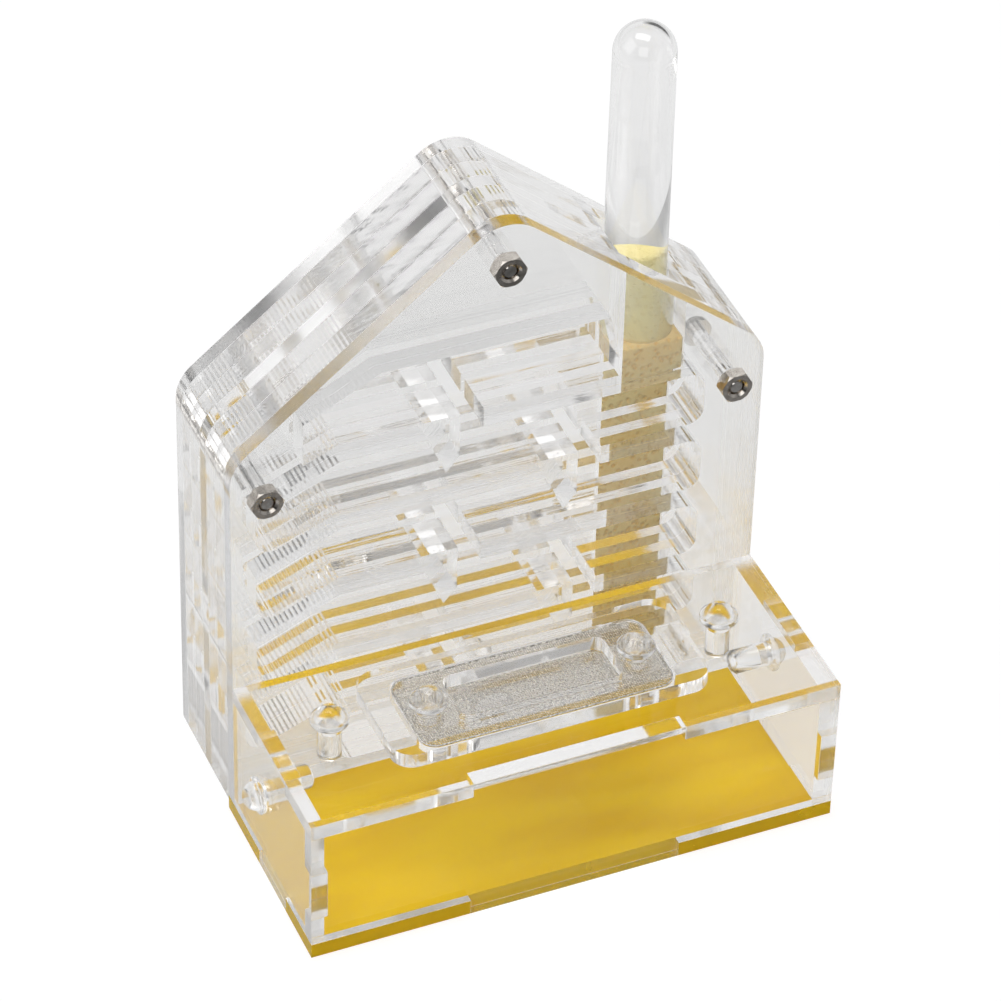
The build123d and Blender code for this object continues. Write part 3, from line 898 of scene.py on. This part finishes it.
@dataclass
class WaterSupply:
    """The inverted test tube, its stopper and the sponge below."""

    finishes: Finishes
    wall: float = 0.85 * MM
    length: float = 61.4 * MM
    taper: float = 0.2 * MM
    lip: float = 0.25 * MM
    mould_line: float = 0.06 * MM
    mould_width: float = 0.2 * MM
    stopper_edge: float = 0.8 * MM
    sponge_head: float = 7.0 * MM
    sponge_head_width: float = 11.6 * MM
    strip_depth: float = 2.8 * MM
    strip_overlap: float = 0.2 * MM
    sponge_edge: float = 0.5 * MM

    def build(self) -> None:
        """Builds the tube, the stopper and the sponge."""
        tube = self.tube()
        self.finishes.dress(tube, "tube_plastic")
        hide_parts("water_tube")
        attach(tube, "tube")
        stopper = self.stopper()
        self.finishes.dress(stopper, "yellow_foam")
        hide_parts("tube_stopper")
        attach(stopper, "tube")
        sponge = self.sponge()
        self.finishes.dress(sponge, "yellow_sponge")
        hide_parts("moisture_sponge")
        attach(sponge, "habitat")
        for piece in (tube, stopper, sponge):
            LOG.info("built %s", piece.name)

    @staticmethod
    def upright(low: Vector, high: Vector) -> Matrix:
        """Places a profile upright in the middle of a box, at its own height."""
        return Matrix.Translation(((low.x + high.x) / 2.0, (low.y + high.y) / 2.0, 0.0))

    def tube(self) -> Piece:
        """Turns the test tube: tapered, round end up, with a softly rounded mouth.

        Returns:
            The tube.
        """
        low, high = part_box("water_tube")
        centre = self.upright(low, high)
        mouth = (high.x - low.x) / 2.0
        end = mouth - self.taper
        shoulder = high.z - end
        inside = mouth - self.wall
        inside_end = end - self.wall
        lip_top = low.z + self.lip
        profile = arc((0.0, shoulder), end, 90.0, 0.0, 24)
        profile[0] = (0.0, high.z)
        profile.append((end - self.mould_line, shoulder - self.mould_width))
        profile.append((end, shoulder - 2.0 * self.mould_width))
        profile += [(mouth, lip_top), (mouth - self.lip, low.z)]
        profile += [(inside + self.lip, low.z), (inside, lip_top)]
        profile += arc((0.0, shoulder), inside_end, 0.0, 90.0, 24)
        profile[-1] = (0.0, shoulder + inside_end)
        piece = mesh_piece("test_tube", lambda work: lathe(work, profile, centre))
        crease(piece, 60.0)
        return piece

    def stopper(self) -> Piece:
        """Turns the foam stopper with slightly crowned ends.

        Returns:
            The stopper.
        """
        low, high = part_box("tube_stopper")
        centre = self.upright(low, high)
        radius = (high.x - low.x) / 2.0
        narrow = radius - self.taper * 2.0 * (high.z - low.z) / self.length
        edge = self.stopper_edge
        profile = [(0.0, high.z)] + arc((narrow - edge, high.z - edge), edge, 90.0, 0.0, 6)
        profile += arc((radius - edge, low.z + edge), edge, 0.0, -90.0, 6) + [(0.0, low.z)]
        return mesh_piece("foam_stopper", lambda work: lathe(work, profile, centre, 64))

    def sponge(self) -> Piece:
        """Cuts the sponge: a block under the tube and a strip below it, with worn edges.

        Returns:
            The sponge.
        """
        low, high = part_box("moisture_sponge")
        middle = (low + high) / 2.0
        strip_top = high.z - self.sponge_head
        half_head = self.sponge_head_width / 2.0
        half_strip = self.strip_depth / 2.0

        def slab(work: Work, start: Vector, end: Vector) -> None:
            """Adds one block with bevelled edges.

            Args:
                work: the bmesh that receives it.
                start: its lowest corner.
                end: its highest corner.
            """
            verts = bmesh.ops.create_cube(work, size=1.0)["verts"]
            bmesh.ops.scale(work, verts=verts, vec=end - start)
            bmesh.ops.translate(work, verts=verts, vec=(start + end) / 2.0)
            edges = list({edge for vert in verts for edge in vert.link_edges})
            bmesh.ops.bevel(
                work, geom=edges, offset=self.sponge_edge, segments=3, affect="EDGES", profile=0.5
            )

        def fill(work: Work) -> None:
            """Adds the block and the strip.

            Args:
                work: the bmesh that receives them.
            """
            head = Vector((middle.x - half_head, low.y, strip_top))
            slab(work, head, Vector((middle.x + half_head, high.y, high.z)))
            strip = Vector((low.x, middle.y - half_strip, low.z))
            strip_end = strip_top + self.strip_overlap
            slab(work, strip, Vector((high.x, middle.y + half_strip, strip_end)))

        return mesh_piece("damp_sponge", fill)


@dataclass
class ClearStoppers:
    """The domed stoppers and the hatch's rivets."""

    finishes: Finishes
    flange_radius: float = 3.5 * MM
    flange_height: float = 0.9 * MM
    dome_radius: float = 2.75 * MM
    dome_height: float = 2.4 * MM
    stem_radius: float = 2.2 * MM
    stem: float = 9.5 * MM
    stem_chamfer: float = 0.6 * MM
    foot_radius: float = 2.8 * MM
    foot_height: float = 0.6 * MM
    edge: float = 0.2 * MM

    def build(self) -> None:
        """Turns each stopper and rivet in the place of its CAD node."""
        up = Vector((0.0, 0.0, 1.0))
        for side, out in (("left", -1.0), ("right", 1.0)):
            self.add("feed_plug_" + side, "feed_stopper_" + side, up)
            self.add("side_plug_" + side, "side_stopper_" + side, Vector((out, 0.0, 0.0)))
            self.add("hatch_knob_" + side, "hatch", up)

    def add(self, node: str, body: str, out: Vector) -> None:
        """Builds one piece and puts it on its body.

        Args:
            node: the CAD node that it replaces.
            body: the body that it rides on.
            out: the direction of its dome.
        """
        low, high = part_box(node)
        half = (high - low) / 2.0
        raised = self.flange_height + self.dome_height
        top = (low + high) / 2.0 + Vector([way * reach for way, reach in zip(out, half)])
        turn = out.to_track_quat("Z", "Y").to_matrix().to_4x4()
        place = Matrix.Translation(top - out * raised) @ turn
        if body == "hatch":
            profile = self.cap() + self.rivet_foot((high.z - low.z) - raised)
        else:
            profile = self.cap() + self.stem_end()
        piece = mesh_piece("clear_" + node, lambda work: lathe(work, profile, place, 72))
        crease(piece, 50.0)
        self.finishes.dress(piece, "clear_plastic")
        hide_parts(node)
        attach(piece, body)
        LOG.info("built %s", piece.name)

    def cap(self) -> Profile:
        """The dome and the flange, from the dome's top to the stem.

        Returns:
            Radius and height pairs, height 0 under the flange.
        """
        top = self.flange_height + self.dome_height
        ball = (self.dome_radius ** 2 + self.dome_height ** 2) / (2.0 * self.dome_height)
        half = math.degrees(math.asin(min(1.0, self.dome_radius / ball)))
        points = arc((0.0, top - ball), ball, 90.0, 90.0 - half, 14)
        points[0] = (0.0, top)
        rim = (self.flange_radius - self.edge, self.flange_height - self.edge)
        points += arc(rim, self.edge, 90.0, 0.0, 4)
        points += [(self.flange_radius, self.edge), (self.flange_radius - self.edge, 0.0)]
        return points + [(self.stem_radius, 0.0)]

    def stem_end(self) -> Profile:
        """A stopper's stem below the flange, with its chamfered tip."""
        tip = (self.stem_radius - self.stem_chamfer, -self.stem)
        return [(self.stem_radius, self.stem_chamfer - self.stem), tip, (0.0, -self.stem)]

    def rivet_foot(self, grip: float) -> Profile:
        """A rivet's stem and its spread foot.

        Args:
            grip: the thickness that the rivet clamps.

        Returns:
            Radius and height pairs.
        """
        out, top = self.foot_radius, self.foot_height - grip
        edge = [(out, self.edge - grip), (out - self.edge, -grip), (0.0, -grip)]
        return [(self.stem_radius, top), (out, top)] + edge


@dataclass
class VentMesh:
    """Fine woven wire clamped in the hatch."""

    finishes: Finishes
    pitch: float = 0.42 * MM
    wire: float = 0.07 * MM
    wave: float = 0.063 * MM
    rim: float = 0.28 * MM
    rim_height: float = 0.24 * MM
    rim_gap: float = 0.02 * MM
    corner: float = 3.0 * MM
    sides: int = 4

    def build(self) -> None:
        """Weaves the mesh and its pressed rim."""
        low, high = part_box("vent_mesh")
        centre, half = (low + high) / 2.0, (high - low) / 2.0

        def fill(work: Work) -> None:
            """Adds both sets of wires and the rim."""
            self.wires(work, centre, half)
            self.edge_rim(work, centre, half)

        piece = mesh_piece("woven_mesh", fill)
        self.finishes.dress(piece, "woven_steel")
        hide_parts("vent_mesh")
        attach(piece, "hatch")
        LOG.info("built woven_mesh")

    def reach(self, offset: float, half_length: float, half_width: float) -> float:
        """Half length of a wire, inside the rounded corners.

        Args:
            offset: its distance from the middle line.
            half_length: half length of the longest wires.
            half_width: half width of the mesh.

        Returns:
            The half length.
        """
        over = abs(offset) - (half_width - self.corner)
        if over <= 0.0:
            return half_length
        return half_length - self.corner + math.sqrt(max(0.0, self.corner ** 2 - over ** 2))

    def wires(self, work: Work, centre: Vector, half: Vector) -> None:
        """Weaves the wires that run along X and those that run along Y.

        Args:
            work: the bmesh that receives them.
            centre: middle of the mesh.
            half: half its size on each axis.
        """
        for along, across in ((0, 1), (1, 0)):
            half_long = half[along] - self.rim / 2.0
            half_wide = half[across] - self.rim / 2.0
            count = int(half_wide / self.pitch)
            for index in range(-count, count + 1):
                offset = index * self.pitch
                end = self.reach(offset, half_long, half_wide)
                sign = 1.0 if (index + along) % 2 else -1.0
                steps = max(2, int(2 * end / self.pitch))
                path = []
                for step in range(steps + 1):
                    run = -end + 2.0 * end * step / steps
                    point = centre.copy()
                    point[along] += run
                    point[across] += offset
                    point.z += sign * self.wave * math.cos(math.pi * run / self.pitch)
                    path.append(point)
                self.strand(work, path, across)

    def strand(self, work: Work, path: Sequence[Vector], across: int) -> None:
        """Sweeps one wire along its path.

        Args:
            work: the bmesh that receives it.
            path: the wire's middle line.
            across: number of the flat axis that it doesn't run along.
        """
        rings = []
        for point in path:
            ring = []
            for step in range(self.sides):
                angle = 2.0 * math.pi * (step + 0.5) / self.sides
                corner = point.copy()
                corner[across] += self.wire * math.cos(angle)
                corner.z += self.wire * math.sin(angle)
                ring.append(work.verts.new(corner))
            rings.append(ring)
        join_rings(work, rings)

    def edge_rim(self, work: Work, centre: Vector, half: Vector) -> None:
        """Adds the flat rim, pressed round the mesh.

        Args:
            work: the bmesh that receives it.
            centre: middle of the mesh.
            half: half its size on each axis.
        """
        loops = []
        corners = ((self.rim_gap, -0.5), (self.rim_gap, 0.5), (self.rim, 0.5), (self.rim, -0.5))
        for inset, side in corners:
            height = centre.z + side * self.rim_height
            outline = self.rounded(centre, half, inset)
            loops.append([work.verts.new((x, y, height)) for x, y in outline])
        join_rings(work, loops + loops[:1])

    def rounded(self, centre: Vector, half: Vector, inset: float) -> Profile:
        """Outline of the mesh, moved in by an inset.

        Args:
            centre: middle of the mesh.
            half: half its size on each axis.
            inset: how far it moves in.

        Returns:
            X and Y of each point.
        """
        radius = self.corner - inset
        out_x = half.x - inset - radius
        out_y = half.y - inset - radius
        points = []
        for sx, sy, start in ((1, 1, 0.0), (-1, 1, 90.0), (-1, -1, 180.0), (1, -1, 270.0)):
            middle = (centre.x + sx * out_x, centre.y + sy * out_y)
            points += arc(middle, radius, start, start + 90.0, 8)
        return points


# --- Studio ---
@dataclass
class Studio:
    """Pale floor, soft light and the camera."""

    floor_size: float = 2.4
    floor_drop: float = 0.3 * MM
    floor_glow: float = 0.87
    floor_albedo: float = 0.8
    seen_albedo: float = 0.2
    mirrored_albedo: float = 0.03
    mirrored_span: Pair = (-0.1, 0.05)
    mirrored_tones: Pair = (0.1, 0.8)
    seen_through_white: float = 0.81
    dark_side: Point = (-0.376, -0.850, 0.370)
    dark_side_edges: Pair = (0.5, 0.85)
    dark_side_tone: float = 0.15
    dark_card: Point = (0.70, 0.70, 0.12)
    card_edges: Pair = (0.90, 0.97)
    card_tone: float = 0.12
    heights: Pair = (-0.1, 0.9)
    horizon_light: float = 0.55
    seen_horizon: float = 0.9
    room_light: float = 0.85
    mirrored_room: float = 0.45
    bounces: int = 96
    glossy_bounces: int = 64
    diffuse_bounces: int = 4
    aim_height: float = 0.05
    sensor: float = 36.0
    focal: float = 183.2446
    camera_at: Point = (-0.27630, -0.620665, 0.62976)
    right: Point = (0.92159, -0.38753, 0.02198)
    up: Point = (0.23296, 0.59753, 0.76726)
    forward: Point = (0.31047, 0.70198, -0.64096)

    def build(self) -> None:
        """Sets the stage."""
        self.floor()
        self.world()
        self.lamps()
        self.camera()
        scene = bpy.context.scene
        scene.view_settings.view_transform = "Standard"
        scene.cycles.max_bounces = self.bounces
        scene.cycles.transmission_bounces = self.bounces
        scene.cycles.transparent_max_bounces = self.bounces
        scene.cycles.glossy_bounces = self.glossy_bounces
        scene.cycles.diffuse_bounces = self.diffuse_bounces
        scene.cycles.caustics_reflective = False

    def floor(self) -> None:
        """Lays the pale floor just below the object.

        It glows for the camera and through glass, so that it is white there, and stays plain
        for everything else. Mirrored, it is darker at the front than at the back.
        """
        half = self.floor_size / 2.0

        def fill(work: Work) -> None:
            """Adds one large face."""
            corners = ((-half, -half), (half, -half), (half, half), (-half, half))
            work.faces.new([work.verts.new((x, y, -self.floor_drop)) for x, y in corners])

        floor = mesh_piece("studio_floor", fill, smooth=False)
        material = bpy.data.materials.new("studio_floor")
        bench = start_nodes(material)
        path = bench.add("ShaderNodeLightPath").outputs
        spot = bench.split(bench.add("ShaderNodeNewGeometry").outputs["Position"])
        mirror_tone = bench.remap(spot["Y"], *self.mirrored_span, *self.mirrored_tones)
        shaded_reflection = bench.math("MULTIPLY", path["Is Glossy Ray"], mirror_tone)
        through = path["Is Transmission Ray"]
        by_object = bench.pick(through, shaded_reflection, self.seen_through_white)
        seen = bench.math("MAXIMUM", path["Is Camera Ray"], by_object)
        direct = bench.math("MAXIMUM", path["Is Camera Ray"], through)
        plain = bench.pick(path["Is Glossy Ray"], self.floor_albedo, self.mirrored_albedo)
        albedo = bench.pick(direct, plain, self.seen_albedo)
        matte = bench.supply(bench.add("ShaderNodeBsdfDiffuse"), {"Color": albedo})
        strength = bench.math("MULTIPLY", seen, self.floor_glow)
        glow = bench.supply(bench.add("ShaderNodeEmission"), {"Strength": strength})
        both = bench.add("ShaderNodeAddShader")
        bench.supply(both, {0: matte.outputs[0], 1: glow.outputs[0]})
        bench.supply(bench.add("ShaderNodeOutputMaterial"), {"Surface": both.outputs[0]})
        floor.data.materials.append(material)

    def world(self) -> None:
        """Lights the scene with a soft room that is darker towards the front.

        A dark card stands behind the object on the right. The camera sees plain white.
        """
        world = bpy.data.worlds.new("studio")
        bpy.context.scene.world = world
        bench = start_nodes(world)
        place = bench.add("ShaderNodeTexCoord").outputs["Generated"]
        path = bench.add("ShaderNodeLightPath").outputs
        horizon = bench.pick(path["Is Transmission Ray"], self.horizon_light, self.seen_horizon)
        lift = bench.remap(bench.split(place)["Z"], *self.heights, horizon, self.room_light)
        front = bench.vector("DOT_PRODUCT", place, self.dark_side, out=1)
        open_share = bench.remap(front, *self.dark_side_edges, 1.0, self.dark_side_tone)
        towards_card = bench.vector("DOT_PRODUCT", place, self.dark_card, out=1)
        card = bench.remap(towards_card, *self.card_edges, 1.0, self.card_tone)
        lit = bench.math("MULTIPLY", bench.math("MULTIPLY", lift, card), open_share)
        shaded_reflection = bench.pick(path["Is Reflection Ray"], 1.0, self.mirrored_room)
        tone = bench.math("MULTIPLY", lit, shaded_reflection)
        shine = {"Color": WHITE, "Strength": bench.pick(path["Is Camera Ray"], tone, 1.0)}
        background = bench.supply(bench.add("ShaderNodeBackground"), shine)
        bench.supply(bench.add("ShaderNodeOutputWorld"), {"Surface": background.outputs[0]})

    def lamps(self) -> None:
        """Hangs the softboxes."""
        self.softbox("softbox_top", (-0.1, 0.1, 1.2), (0.4, 0.9), 5.0)
        self.softbox("softbox_left", (-1.0, 0.2, 0.7), (0.9, 0.9), 2.5)
        self.softbox("softbox_front", (-0.6, -1.0, 0.9), (0.9, 0.9), 3.0)

    def softbox(self, name: str, at: Point, size: Pair, power: float) -> None:
        """Hangs one lamp that looks at the habitat.

        Args:
            name: the lamp's name.
            at: its place.
            size: width and height of its face.
            power: its power in watts.
        """
        lamp = bpy.data.lights.new(name, "AREA")
        lamp.shape = "RECTANGLE"
        lamp.size, lamp.size_y = size
        lamp.energy = power
        piece = add_object(name, lamp)
        piece.location = at
        aim = Vector((0.0, 0.0, self.aim_height)) - Vector(at)
        piece.rotation_euler = aim.to_track_quat("-Z", "Y").to_euler()

    def camera(self) -> None:
        """Places the camera."""
        data = bpy.data.cameras.new("camera")
        data.lens = self.focal
        data.sensor_width = self.sensor
        data.sensor_fit = "HORIZONTAL"
        data.clip_start = 0.01
        piece = add_object("camera", data)
        turn = Matrix((self.right, self.up, [-v for v in self.forward])).transposed()
        piece.matrix_world = Matrix.Translation(self.camera_at) @ turn.to_4x4()
        bpy.context.scene.camera = piece


def main() -> None:
    """Builds and dresses the habitat, then sets the stage."""
    finishes = Finishes()
    NestStack(finishes).dress()
    FeedingBox(finishes).dress()
    Fasteners(finishes).build()
    WaterSupply(finishes).build()
    ClearStoppers(finishes).build()
    VentMesh(finishes).build()
    Studio().build()


if __name__ == "__main__":
    main()
